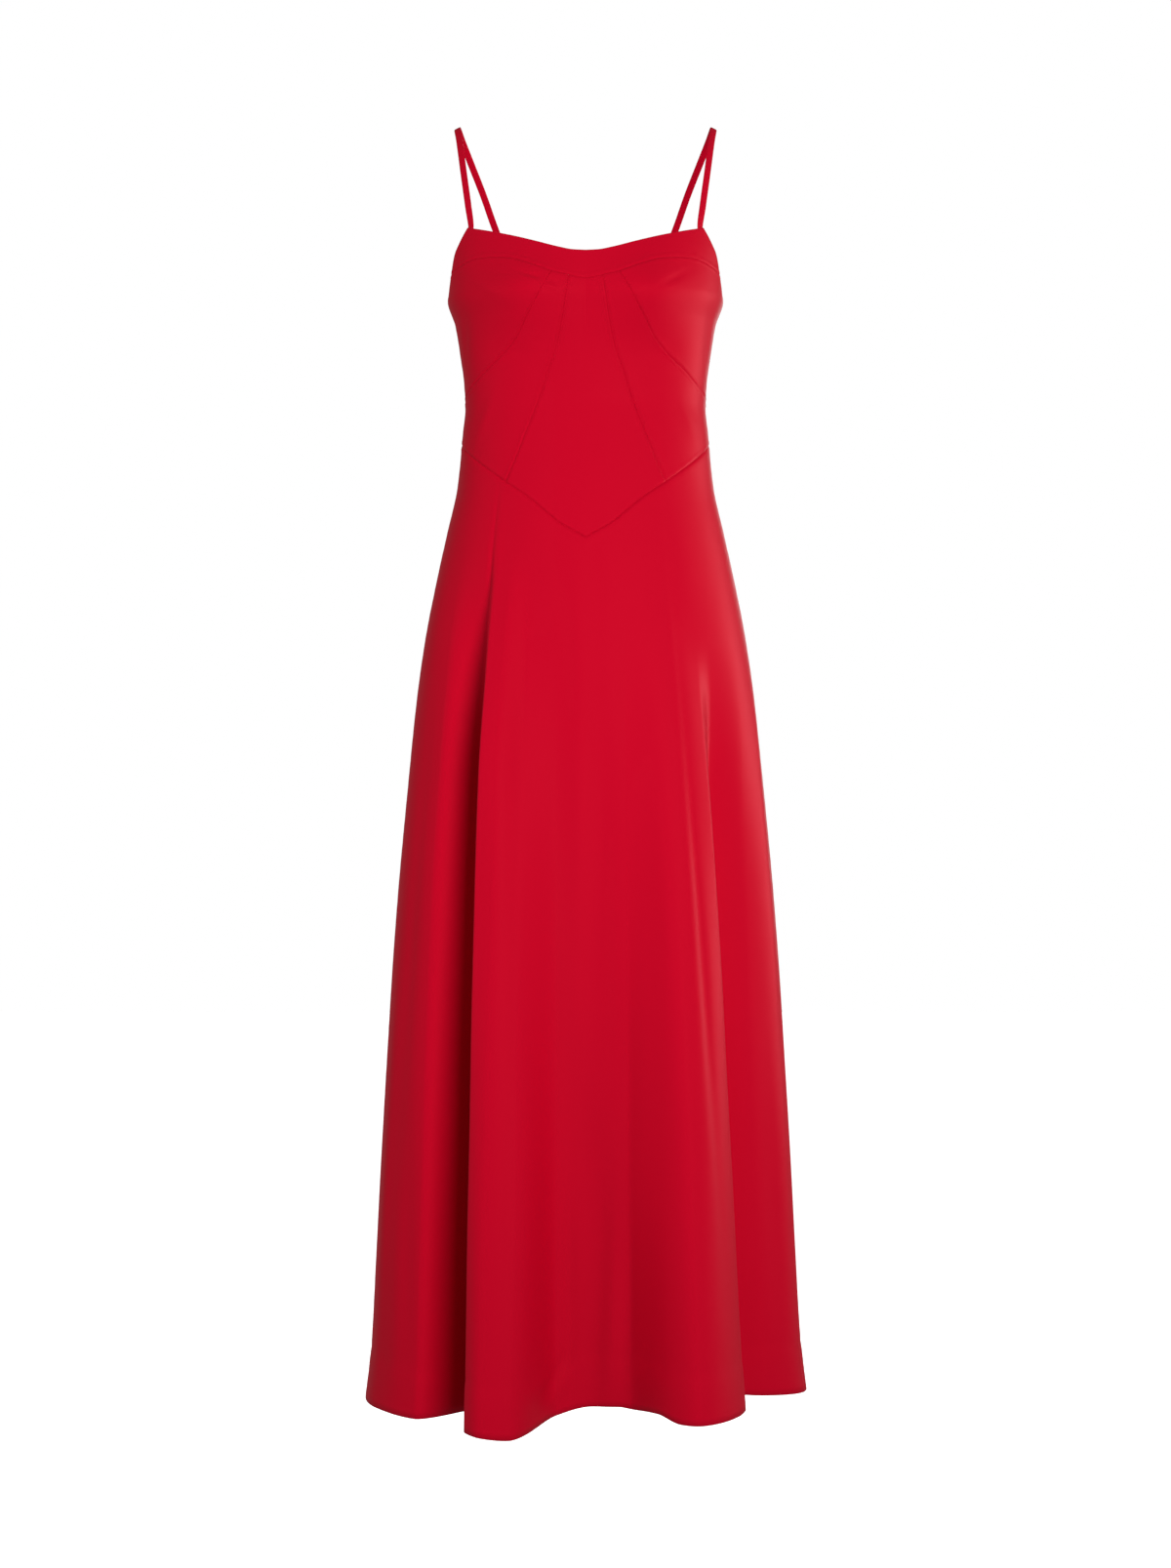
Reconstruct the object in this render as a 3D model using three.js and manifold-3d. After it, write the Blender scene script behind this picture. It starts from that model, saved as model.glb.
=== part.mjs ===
// Corset maxi dress in satin, filled out as worn, with thin shoulder straps.
// Millimetres. +Z is up, the front faces -Y, and the wearer's left is +X.
// The origin is on the shoulder line, under the tops of the two straps.
import * as THREE from "three";
import Module from "manifold-3d";

// Cloth
const WALL = 1.2;
const SEAM_HALF_GAP = 0.15;
const PIECE_GAP = 0.45;

// Lengths below the shoulder line
const FOLD_REGION_TOP = -345;
const HEM_Z = -1392;
const SIDE_TOP_Z = -191;
const CUP_END_Z = -300;
const SIDE_WAIST_Z = -346;

// Angle from centre front where the inner seams meet the waist seam
const INNER_SEAM_FOOT = 47.1;

// Straps
const STRAP_WIDTH = 7.6;
const STRAP_THICKNESS = 1.8;
const STRAP_STEPS = 42;
const STRAP_AIM = { x: 95, y: 20, z: -90 };

// Centre-back concealed zip
const ZIP_WIDTH = 22;
const ZIP_END_Z = -535;
const ZIP_TAPE_DROP = 18;
const ZIP_SLIDER_DROP = 9;
const ZIP_MOUTH = { halfGap: 1.1, length: 30 };
const TAPE_THICKNESS = 1.0;
const SLIDER_BODY = { width: 6, depth: 2.2, height: 11, inside: 1.15 };
const SLIDER_NECK = { width: 1.0, height: 3.4 };
const SLIDER_LOOP = { clear: 0.5, stand: 4.6, height: 4.4, hole: 2.6, holeOut: 2.4 };
const PULL = { bar: 0.9, thickness: 0.9, width: 5, length: 18, window: 2.6, windowDrop: 3.4 };

// Round sections of the whole form: half width, front and back depth, squareness
const SECTIONS = [
  { z: -60, half: 147, front: 80, back: 92, square: 2.35 },
  { z: -110, half: 150, front: 94, back: 97, square: 2.35 },
  { z: -150, half: 151.5, front: 105, back: 102, square: 2.35 },
  { z: -187, half: 151, front: 109, back: 104, square: 2.35 },
  { z: -216, half: 142.3, front: 103, back: 101, square: 2.3 },
  { z: -248, half: 137, front: 95, back: 96, square: 2.3 },
  { z: -280, half: 132.7, front: 89, back: 92, square: 2.3 },
  { z: -305, half: 131.4, front: 86, back: 90, square: 2.3 },
  { z: -330, half: 133.8, front: 88, back: 92, square: 2.3 },
  { z: -393, half: 140.2, front: 96, back: 102, square: 2.2 },
  { z: -441, half: 150.9, front: 102, back: 110, square: 2.15 },
  { z: -489, half: 161.6, front: 107, back: 116, square: 2.1 },
  { z: -553, half: 174.4, front: 112, back: 121, square: 2.05 },
  { z: -617, half: 184, front: 115, back: 125, square: 2 },
  { z: -714, half: 194.7, front: 119, back: 129, square: 2 },
  { z: -842, half: 207, front: 124, back: 134, square: 2 },
  { z: -1035, half: 220.2, front: 130, back: 141, square: 2 },
  { z: -1227, half: 231, front: 135, back: 148, square: 2 },
  { z: -1340, half: 237.4, front: 138, back: 151, square: 2 },
  { z: -1420, half: 247, front: 140, back: 154, square: 2 },
];

// Fullness of each cup over the plain sections
const CUP = { x: 70, z: -196, rise: 15, across: 44, high: 38 };

// Skirt fold lines: angle from centre front at hem and waist, the height each
// starts at, the share of its depth gained over the first FOLD_SETTLE below that,
// and how far it stands out (+) or sinks in (-) at the hem
const FOLDS = [
  { hem: -180, waist: -180, starts: -560, early: 0.3, out: 6 },
  { hem: -166, waist: -166, starts: -540, early: 0.3, out: 34 },
  { hem: -152, waist: -153, starts: -540, early: 0.3, out: -34 },
  { hem: -137, waist: -140, starts: -500, early: 0.3, out: 38 },
  { hem: -124, waist: -126, starts: -500, early: 0.3, out: -30 },
  { hem: -108, waist: -108, starts: -580, early: 0.3, out: 16 },
  { hem: -90, waist: -90, starts: -560, early: 0.3, out: -2.5 },
  { hem: -76, waist: -79, starts: -560, early: 0.3, out: 3 },
  { hem: -62, waist: -67, starts: -520, early: 0.3, out: 9 },
  { hem: -48.5, waist: -52, starts: -470, early: 0.45, out: -50 },
  { hem: -42.2, waist: -47, starts: -470, early: 0.45, out: 46 },
  { hem: -37, waist: -41, starts: -470, early: 0.24, out: 57 },
  { hem: -28, waist: -31, starts: -540, early: 0, out: 51 },
  { hem: -13, waist: -14, starts: -600, early: 0, out: -20 },
  { hem: 3, waist: 3, starts: -600, early: 0.12, out: -29 },
  { hem: 20, waist: 19, starts: -600, early: 0, out: -21 },
  { hem: 41, waist: 41.5, starts: -520, early: 0, out: 54 },
  { hem: 57.3, waist: 53, starts: -560, early: 0.45, out: 15 },
  { hem: 64.5, waist: 60, starts: -560, early: 0.45, out: -56 },
  { hem: 76, waist: 75, starts: -580, early: 0.3, out: -34 },
  { hem: 90, waist: 90, starts: -600, early: 0.3, out: -2 },
  { hem: 104, waist: 104, starts: -580, early: 0.3, out: 9 },
  { hem: 119, waist: 120, starts: -520, early: 0.3, out: -32 },
  { hem: 133, waist: 136, starts: -500, early: 0.3, out: 36 },
  { hem: 147, waist: 149, starts: -540, early: 0.3, out: -30 },
  { hem: 163, waist: 163, starts: -540, early: 0.3, out: 36 },
];
const FOLD_SETTLE = 240;

// Height of the hem edge around the skirt
const HEM_EDGE = [
  { deg: -180, z: -1392 },
  { deg: -120, z: -1390 },
  { deg: -90, z: -1387 },
  { deg: -75, z: -1389 },
  { deg: -62, z: -1391 },
  { deg: -50, z: -1388 },
  { deg: -41, z: -1392 },
  { deg: -28, z: -1396 },
  { deg: -15, z: -1385 },
  { deg: 3, z: -1376 },
  { deg: 15, z: -1376 },
  { deg: 22, z: -1378 },
  { deg: 29, z: -1377 },
  { deg: 35, z: -1383 },
  { deg: 46, z: -1382 },
  { deg: 54, z: -1381 },
  { deg: 62, z: -1377 },
  { deg: 75, z: -1380 },
  { deg: 90, z: -1383 },
  { deg: 130, z: -1390 },
  { deg: 180, z: -1392 },
];

// Seams of the wearer's left half, as angle from centre front and height
const NECK_EDGE = [
  { deg: 0, z: -150.5 },
  { deg: 7, z: -149.9 },
  { deg: 15.6, z: -146.7 },
  { deg: 28.6, z: -139.6 },
  { deg: 41, z: -132.3 },
  { deg: 53.2, z: -125.2 },
  { deg: 64.7, z: -118.6 },
];
const ARMHOLE_UPPER = [
  { deg: 64.7, z: -118.6 },
  { deg: 69.1, z: -135 },
  { deg: 71.8, z: -144.4 },
  { deg: 75.2, z: -165.4 },
];
const ARMHOLE_LOWER = [
  { deg: 75.2, z: -165.4 },
  { deg: 77.6, z: -176 },
  { deg: 81.4, z: -187 },
  { deg: 90, z: SIDE_TOP_Z },
];
const BAND_SEAM_CENTRE = [
  { deg: 0, z: -180.7 },
  { deg: 5.4, z: -179.3 },
  { deg: 9.2, z: -177.4 },
];
const BAND_SEAM_SIDE_FRONT = [
  { deg: 9.2, z: -177.4 },
  { deg: 18.7, z: -173.4 },
];
const BAND_SEAM_CUP = [
  { deg: 18.7, z: -173.4 },
  { deg: 26.5, z: -167.1 },
  { deg: 33, z: -162.3 },
  { deg: 39.4, z: -157.9 },
  { deg: 45.2, z: -156 },
  { deg: 51.5, z: -154.6 },
  { deg: 56.6, z: -154.4 },
  { deg: 61.5, z: -156.2 },
  { deg: 66.5, z: -159.6 },
  { deg: 75.2, z: -165.4 },
];
const CUP_SEAM = [
  { deg: 18.7, z: -173.4 },
  { deg: 26.8, z: -201.5 },
  { deg: 33.9, z: -221.8 },
  { deg: 40.9, z: -241.5 },
  { deg: 50.2, z: -258.4 },
  { deg: 59.8, z: -271.5 },
  { deg: 70.2, z: -284.6 },
  { deg: 81.5, z: -295 },
  { deg: 90, z: CUP_END_Z },
];
const INNER_SEAM = [
  { deg: 9.2, z: -177.4 },
  { deg: 12.3, z: -209.3 },
  { deg: 17.8, z: -246.7 },
  { deg: 27.2, z: -284.8 },
  { deg: 36.5, z: -331.2 },
  { deg: 42.3, z: -365.6 },
  { deg: 47.1, z: -393.4 },
];
const WAIST_SEAM = [
  { deg: 0, z: -455.1 },
  { deg: 4.6, z: -449.8 },
  { deg: 14.4, z: -440 },
  { deg: 24.2, z: -425.6 },
  { deg: 34, z: -410.6 },
  { deg: 47.1, z: -393.4 },
  { deg: 64.2, z: -370.1 },
  { deg: 72.6, z: -359.3 },
  { deg: 82.5, z: -349.4 },
  { deg: 90, z: SIDE_WAIST_Z },
];
const WAIST_SEAM_BACK = [
  { deg: 90, z: SIDE_WAIST_Z },
  { deg: 120, z: -348 },
  { deg: 180, z: -352 },
];
const BACK_EDGE = [
  { deg: 90, z: SIDE_TOP_Z },
  { deg: 120, z: -195 },
  { deg: 146, z: -194 },
  { deg: 180, z: -199 },
];

// Strap of the wearer's left between its two sewn ends
const STRAP_PATH = [
  { x: 126.4, y: -54.5, z: -94 },
  { x: 131.8, y: -42, z: -56 },
  { x: 137.4, y: -21, z: -16 },
  { x: 140.2, y: -1, z: 0.9 },
  { x: 135.6, y: 23, z: -9 },
  { x: 125.9, y: 46, z: -31 },
  { x: 114.3, y: 70, z: -58 },
  { x: 103.4, y: 90, z: -87 },
  { x: 89, y: 101, z: -124 },
  { x: 77, y: 104, z: -160 },
];
const STRAP_FRONT_END = [
  { deg: 63.8, z: -135 },
  { deg: 63.7, z: -127 },
  { deg: 63.6, z: -118.4 },
];
const STRAP_BACK_END = [
  { deg: 146, z: -188 },
  { deg: 146, z: -200 },
  { deg: 146, z: -209 },
];

// Smooth curve through table rows that never overshoots between them
function curve(rows, key, value) {
  const sorted = [...rows].sort((a, b) => a[key] - b[key]);
  const x = sorted.map((row) => row[key]);
  const y = sorted.map((row) => row[value]);
  const last = x.length - 1;
  const h = [];
  const d = [];
  for (let i = 0; i < last; i += 1) {
    h.push(x[i + 1] - x[i]);
    d.push((y[i + 1] - y[i]) / h[i]);
  }
  const m = new Array(last + 1).fill(0);
  m[0] = d[0];
  m[last] = d[last - 1];
  for (let i = 1; i < last; i += 1) {
    const before = 2 * h[i] + h[i - 1];
    const after = h[i] + 2 * h[i - 1];
    m[i] = d[i - 1] * d[i] <= 0 ? 0 : (before + after) / (before / d[i - 1] + after / d[i]);
  }
  return (at) => {
    const t = Math.min(Math.max(at, x[0]), x[last]);
    let i = 0;
    while (i < last - 1 && t > x[i + 1]) i += 1;
    const u = (t - x[i]) / h[i];
    const rise = u * u * (3 - 2 * u);
    const bend = h[i] * (u * (1 - u) ** 2 * m[i] + u * u * (u - 1) * m[i + 1]);
    return y[i] * (1 - rise) + y[i + 1] * rise + bend;
  };
}

function smooth(t) {
  const u = Math.min(Math.max(t, 0), 1);
  return u * u * (3 - 2 * u);
}

const halfAt = curve(SECTIONS, "z", "half");
const frontAt = curve(SECTIONS, "z", "front");
const backAt = curve(SECTIONS, "z", "back");
const squareAt = curve(SECTIONS, "z", "square");

// Point of the plain form at an angle from centre front and a height
function ring(deg, z) {
  const turn = THREE.MathUtils.degToRad(deg);
  const s = Math.sin(turn);
  const c = Math.cos(turn);
  const n = squareAt(z);
  const deep = c > 0 ? frontAt(z) : backAt(z);
  const r = ((Math.abs(s) / halfAt(z)) ** n + (Math.abs(c) / deep) ** n) ** (-1 / n);
  const point = new THREE.Vector3(r * s, -r * c, z);
  if (c > 0) {
    const across = (Math.abs(point.x) - CUP.x) / CUP.across;
    const high = (z - CUP.z) / CUP.high;
    point.y -= CUP.rise * Math.exp(-across * across - high * high) * Math.sqrt(c);
  }
  return point;
}

// Fold rows repeated once on each side, so that the skirt closes smoothly
const foldRound = [-360, 0, 360].flatMap((turn) =>
  FOLDS.map((row) => ({ ...row, hem: row.hem + turn, waist: row.waist + turn })));
const waistAngle = curve(foldRound, "hem", "waist");

function foldGrowth(row, z) {
  const drop = Math.max(row.starts - z, 0);
  const steady = drop / (row.starts - HEM_Z);
  return row.early * smooth(drop / FOLD_SETTLE) + (1 - row.early) * steady;
}

const foldCurves = new Map();
function foldOut(at, z) {
  if (!foldCurves.has(z)) {
    const rows = foldRound.map((row) => ({ hem: row.hem, out: row.out * foldGrowth(row, z) }));
    foldCurves.set(z, curve(rows, "hem", "out"));
  }
  return foldCurves.get(z)(at);
}

function bodyAngle(at, z) {
  const down = Math.min(Math.max((FOLD_REGION_TOP - z) / (FOLD_REGION_TOP - HEM_Z), 0), 1);
  return waistAngle(at) + (at - waistAngle(at)) * down;
}

// Point of the skirt at a fold position (its angle at the hem) and a height
function skirtPoint(at, z) {
  const deg = bodyAngle(at, z);
  const point = ring(deg, z);
  const along = ring(deg + 0.5, z).sub(ring(deg - 0.5, z));
  const outward = new THREE.Vector3(along.y, -along.x, 0).normalize();
  return point.addScaledVector(outward, foldOut(at, z));
}

// Outward direction of a surface given by an angle and a height
function outwardOf(surface, at, z) {
  const across = surface(at + 0.2, z).sub(surface(at - 0.2, z));
  const up = surface(at, z + 1).sub(surface(at, z - 1));
  return across.cross(up).normalize();
}

// Even samples along one or more joined seam tables
function sampleSeam(rows, count) {
  const far = rows.map(() => 0);
  for (let i = 1; i < rows.length; i += 1) {
    const a = ring(rows[i - 1].deg, rows[i - 1].z);
    far[i] = far[i - 1] + a.distanceTo(ring(rows[i].deg, rows[i].z));
  }
  const table = rows.map((row, i) => ({ far: far[i], deg: row.deg, z: row.z }));
  const degAt = curve(table, "far", "deg");
  const zAt = curve(table, "far", "z");
  const total = far[far.length - 1];
  const samples = [];
  for (let i = 0; i <= count; i += 1) {
    const at = (total * i) / count;
    samples.push({ deg: degAt(at), z: zAt(at) });
  }
  return samples;
}

function join(...runs) {
  return runs.reduce((all, run) => (all.length ? all.concat(run.slice(1)) : run));
}

function acrossCentre(run) {
  return run.map((p) => ({ deg: -p.deg, z: p.z }));
}

function mirrored(run) {
  return acrossCentre(run).reverse();
}

// Grid between four edges: top and bottom run along i, left and right along j
function patch(top, bottom, left, right) {
  const ni = top.length - 1;
  const nj = left.length - 1;
  const blend = (i, j, key) => {
    const u = i / ni;
    const v = j / nj;
    const across = (1 - v) * top[i][key] + v * bottom[i][key];
    const down = (1 - u) * left[j][key] + u * right[j][key];
    const upper = (1 - u) * top[0][key] + u * top[ni][key];
    const lower = (1 - u) * bottom[0][key] + u * bottom[ni][key];
    return across + down - (1 - v) * upper - v * lower;
  };
  const grid = [];
  for (let i = 0; i <= ni; i += 1) {
    const column = [];
    for (let j = 0; j <= nj; j += 1) {
      column.push({ deg: blend(i, j, "deg"), z: blend(i, j, "z") });
    }
    grid.push(column);
  }
  return grid;
}

// Moves the sewn edges of a grid of outer points in by half the seam gap
function openSeams(points, sewn) {
  const ni = points.length - 1;
  const nj = points[0].length - 1;
  const shift = (i, j, di, dj) => {
    const inward = points[i + di][j + dj].clone().sub(points[i][j]).normalize();
    return inward.multiplyScalar(SEAM_HALF_GAP);
  };
  const moves = [];
  for (let j = 0; j <= nj; j += 1) {
    if (sewn.left) moves.push([0, j, shift(0, j, 1, 0)]);
    if (sewn.right) moves.push([ni, j, shift(ni, j, -1, 0)]);
  }
  for (let i = 0; i <= ni; i += 1) {
    if (sewn.top) moves.push([i, 0, shift(i, 0, 0, 1)]);
    if (sewn.bottom) moves.push([i, nj, shift(i, nj, 0, -1)]);
  }
  for (const [i, j, move] of moves) points[i][j].add(move);
}

// Closed solid from two matching grids of points
function solidFromGrids(outer, inner) {
  const ni = outer.length;
  const nj = outer[0].length;
  const positions = [];
  for (const grid of [outer, inner]) {
    for (const column of grid) {
      for (const p of column) positions.push(p.x, p.y, p.z);
    }
  }
  const index = [];
  const at = (side, i, j) => side * ni * nj + i * nj + j;
  const quad = (a, b, c, d) => index.push(a, b, c, a, c, d);
  for (let i = 0; i < ni - 1; i += 1) {
    for (let j = 0; j < nj - 1; j += 1) {
      quad(at(0, i, j), at(0, i, j + 1), at(0, i + 1, j + 1), at(0, i + 1, j));
      quad(at(1, i, j), at(1, i + 1, j), at(1, i + 1, j + 1), at(1, i, j + 1));
    }
    quad(at(0, i, 0), at(0, i + 1, 0), at(1, i + 1, 0), at(1, i, 0));
    quad(at(0, i, nj - 1), at(1, i, nj - 1), at(1, i + 1, nj - 1), at(0, i + 1, nj - 1));
  }
  for (let j = 0; j < nj - 1; j += 1) {
    quad(at(0, 0, j), at(1, 0, j), at(1, 0, j + 1), at(0, 0, j + 1));
    quad(at(0, ni - 1, j), at(0, ni - 1, j + 1), at(1, ni - 1, j + 1), at(1, ni - 1, j));
  }
  const geometry = new THREE.BufferGeometry();
  geometry.setAttribute("position", new THREE.Float32BufferAttribute(positions, 3));
  geometry.setIndex(index);
  geometry.computeVertexNormals();
  return geometry;
}

// Cloth panel on a surface, from a grid of angles and heights
function panel(surface, grid, sewn, skin = 0, thick = WALL) {
  const normals = grid.map((column) => column.map((p) => outwardOf(surface, p.deg, p.z)));
  const outer = grid.map((column, i) => column.map((p, j) =>
    surface(p.deg, p.z).addScaledVector(normals[i][j], skin)));
  openSeams(outer, sewn);
  const inner = outer.map((column, i) => column.map((p, j) =>
    p.clone().addScaledVector(normals[i][j], -thick)));
  return solidFromGrids(outer, inner);
}

// Seams shared by the panels on each side of them
const bandCentre = sampleSeam(BAND_SEAM_CENTRE, 4);
const bandSideFront = sampleSeam(BAND_SEAM_SIDE_FRONT, 2);
const bandCup = sampleSeam(BAND_SEAM_CUP, 13);
const bandHalf = join(bandCentre, bandSideFront, bandCup);
const neckHalf = sampleSeam(NECK_EDGE, bandHalf.length - 1);
const armUpper = sampleSeam(ARMHOLE_UPPER, 5);
const armLower = sampleSeam(ARMHOLE_LOWER, 12);
const cupSeam = sampleSeam(CUP_SEAM, 12);
const innerSeam = sampleSeam(INNER_SEAM, 14);
const sideUpper = sampleSeam([{ deg: 90, z: SIDE_TOP_Z }, { deg: 90, z: CUP_END_Z }], 13);
const sideLower = sampleSeam([{ deg: 90, z: CUP_END_Z }, { deg: 90, z: SIDE_WAIST_Z }], 14);
const waistAt = curve([...WAIST_SEAM, ...WAIST_SEAM_BACK.slice(1)], "deg", "z");
const onWaist = (p) => ({ deg: p.deg, z: waistAt(p.deg) });
const waistCentre = sampleSeam(WAIST_SEAM.filter((row) => row.deg <= INNER_SEAM_FOOT), 7).map(onWaist);
const waistSide = sampleSeam(WAIST_SEAM.filter((row) => row.deg >= INNER_SEAM_FOOT), 14).map(onWaist);

function bothSides(half) {
  return join(mirrored(half), half);
}

const neckBandGrid = patch(bothSides(neckHalf), bothSides(bandHalf),
  acrossCentre(armUpper), armUpper);
const centreTop = bothSides(sampleSeam(BAND_SEAM_CENTRE, 7));
const centreGrid = patch(centreTop, bothSides(waistCentre), acrossCentre(innerSeam), innerSeam);
const cupGrid = patch(bandCup, sideUpper, cupSeam, armLower);
const sideFrontGrid = patch(join(bandSideFront, cupSeam), waistSide, innerSeam, sideLower);

// Turns a grid of the wearer's left into its mirror image on the right
function mirrorGrid(grid) {
  return [...grid].reverse().map(acrossCentre);
}

// Bodice back between the side seam and the zip
const BACK_COLUMNS = 14;
const BACK_ROWS = 12;
const backEdge = curve(BACK_EDGE, "deg", "z");

function zipHalfAngle(z, top) {
  const open = 1 - smooth((top - z) / ZIP_MOUTH.length);
  const extra = (ZIP_MOUTH.halfGap - SEAM_HALF_GAP) * open;
  return THREE.MathUtils.radToDeg(extra / backAt(z));
}

function backGrid() {
  const top = backEdge(180);
  const grid = [];
  for (let i = 0; i <= BACK_COLUMNS; i += 1) {
    const u = i / BACK_COLUMNS;
    const column = [];
    for (let j = 0; j <= BACK_ROWS; j += 1) {
      const v = j / BACK_ROWS;
      const deg = 90 + 90 * u;
      const z = backEdge(deg) + (waistAt(deg) - backEdge(deg)) * v;
      column.push({ deg: deg - zipHalfAngle(z, top) * u ** 12, z });
    }
    grid.push(column);
  }
  return grid;
}

// Skirt columns, closer together where the folds turn sharply
const BEND_WEIGHT = 30;
function skirtColumns(from, to, count) {
  const steps = 720;
  const far = [0];
  for (let i = 1; i <= steps; i += 1) {
    const at = from + ((to - from) * i) / steps;
    const before = from + ((to - from) * (i - 1)) / steps;
    const step = (to - from) / steps;
    const a = skirtPoint(before, HEM_Z);
    const b = skirtPoint(at, HEM_Z);
    const c = skirtPoint(at + step, HEM_Z);
    const bend = b.clone().sub(a).angleTo(c.clone().sub(b));
    far.push(far[i - 1] + a.distanceTo(b) + BEND_WEIGHT * bend);
  }
  const columns = [];
  let k = 0;
  for (let i = 0; i <= count; i += 1) {
    const goal = (far[steps] * i) / count;
    while (k < steps - 1 && far[k + 1] < goal) k += 1;
    const u = Math.min(Math.max((goal - far[k]) / (far[k + 1] - far[k]), 0), 1);
    columns.push(from + ((to - from) * (k + u)) / steps);
  }
  return columns;
}

const hemAt = curve(HEM_EDGE, "deg", "z");

// Height where a fold position meets the waist seam
function waistHeight(at) {
  let z = SIDE_WAIST_Z;
  for (let i = 0; i < 30; i += 1) z = (z + waistAt(Math.abs(bodyAngle(at, z)))) / 2;
  return z;
}

const SKIRT_ROWS = 18;
const ROW_SPREAD = 1.15;
function skirtGrid(columns) {
  return columns.map((at) => {
    const top = waistHeight(at);
    const column = [];
    for (let j = 0; j <= SKIRT_ROWS; j += 1) {
      const v = (j / SKIRT_ROWS) ** ROW_SPREAD;
      column.push({ deg: at, z: Math.round((top + (hemAt(at) - top) * v) * 1000) / 1000 });
    }
    return column;
  });
}

const skirtFrontColumns = [...skirtColumns(-90, 0, 31), ...skirtColumns(0, 90, 30).slice(1)];
const skirtLeftColumns = skirtColumns(90, 180, 24);
const skirtRightColumns = skirtColumns(-180, -90, 24);

// Strap swept along its path with a flat rounded section
function strapGeometry(side) {
  const offset = WALL + PIECE_GAP + STRAP_THICKNESS / 2;
  const aim = new THREE.Vector3(STRAP_AIM.x, STRAP_AIM.y, STRAP_AIM.z);
  const sewn = (row) => {
    const out = outwardOf(ring, row.deg, row.z);
    return { at: ring(row.deg, row.z).addScaledVector(out, -offset), out };
  };
  const free = (row) => {
    const at = new THREE.Vector3(row.x, row.y, row.z);
    return { at, out: at.clone().sub(aim).normalize() };
  };
  const stations = [...STRAP_FRONT_END.map(sewn), ...STRAP_PATH.map(free), ...STRAP_BACK_END.map(sewn)];
  const path = new THREE.CatmullRomCurve3(stations.map((row) => row.at), false, "centripetal");
  const facing = new THREE.CatmullRomCurve3(stations.map((row) => row.out), false, "centripetal");
  const corners = [[-0.5, -0.18], [-0.38, -0.5], [0.38, -0.5], [0.5, -0.18],
    [0.5, 0.18], [0.38, 0.5], [-0.38, 0.5], [-0.5, 0.18]];
  const positions = [];
  for (let i = 0; i <= STRAP_STEPS; i += 1) {
    const at = path.getPointAt(i / STRAP_STEPS);
    const along = path.getTangentAt(i / STRAP_STEPS);
    const out = facing.getPoint(path.getUtoTmapping(i / STRAP_STEPS));
    out.addScaledVector(along, -out.dot(along)).normalize();
    const across = along.clone().cross(out).normalize();
    for (const [w, t] of corners) {
      const p = at.clone().addScaledVector(across, w * STRAP_WIDTH);
      p.addScaledVector(out, t * STRAP_THICKNESS);
      positions.push(p.x * side, p.y, p.z);
    }
  }
  const n = corners.length;
  const index = [];
  const tri = (a, b, c) => (side < 0 ? index.push(a, b, c) : index.push(a, c, b));
  for (let i = 0; i < STRAP_STEPS; i += 1) {
    for (let k = 0; k < n; k += 1) {
      const a = i * n + k;
      const b = i * n + ((k + 1) % n);
      tri(a, b, b + n);
      tri(a, b + n, a + n);
    }
  }
  const end = STRAP_STEPS * n;
  for (let k = 1; k < n - 1; k += 1) {
    tri(0, k + 1, k);
    tri(end, end + k, end + k + 1);
  }
  const geometry = new THREE.BufferGeometry();
  geometry.setAttribute("position", new THREE.Float32BufferAttribute(positions, 3));
  geometry.setIndex(index);
  geometry.computeVertexNormals();
  return geometry;
}

// Zip tape inside the centre-back seam
function zipTapeGrid() {
  const columns = 2;
  const rows = 14;
  const top = backEdge(180) - ZIP_TAPE_DROP;
  const grid = [];
  for (let i = 0; i <= columns; i += 1) {
    const column = [];
    for (let j = 0; j <= rows; j += 1) {
      const z = top + ((ZIP_END_Z - top) * j) / rows;
      const half = THREE.MathUtils.radToDeg(ZIP_WIDTH / 2 / backAt(z));
      column.push({ deg: 180 - half + (2 * half * i) / columns, z });
    }
    grid.push(column);
  }
  return grid;
}

// Slider at the top of the zip: a body inside, a thin neck through the seam
// and a loop outside that the pull's bar turns in
const wasm = await Module();
wasm.setup();
const sliderZ = backEdge(180) - ZIP_SLIDER_DROP;
const sliderY = ring(180, sliderZ).y;
const loopY = sliderY + SLIDER_LOOP.clear + SLIDER_LOOP.stand / 2;

function block(sizeX, sizeY, sizeZ, x, y, z) {
  return wasm.Manifold.cube([sizeX, sizeY, sizeZ], true).translate([x, y, z]);
}

function fromManifold(solid) {
  const mesh = solid.getMesh();
  const geometry = new THREE.BufferGeometry();
  geometry.setAttribute("position", new THREE.Float32BufferAttribute(mesh.vertProperties, 3));
  geometry.setIndex([...mesh.triVerts]);
  geometry.computeVertexNormals();
  return geometry;
}

function sliderGeometry() {
  const bodyY = sliderY - WALL - SLIDER_BODY.inside - SLIDER_BODY.depth / 2;
  const body = block(SLIDER_BODY.width, SLIDER_BODY.depth, SLIDER_BODY.height, 0, bodyY, sliderZ);
  const neckLong = loopY - bodyY;
  const neck = block(SLIDER_NECK.width, neckLong, SLIDER_NECK.height, 0, bodyY + neckLong / 2, sliderZ);
  const loop = block(SLIDER_NECK.width, SLIDER_LOOP.stand, SLIDER_LOOP.height, 0, loopY, sliderZ);
  const hole = block(4, SLIDER_LOOP.holeOut, SLIDER_LOOP.hole, 0, loopY, sliderZ);
  return fromManifold(body.add(neck).add(loop).subtract(hole));
}

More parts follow.
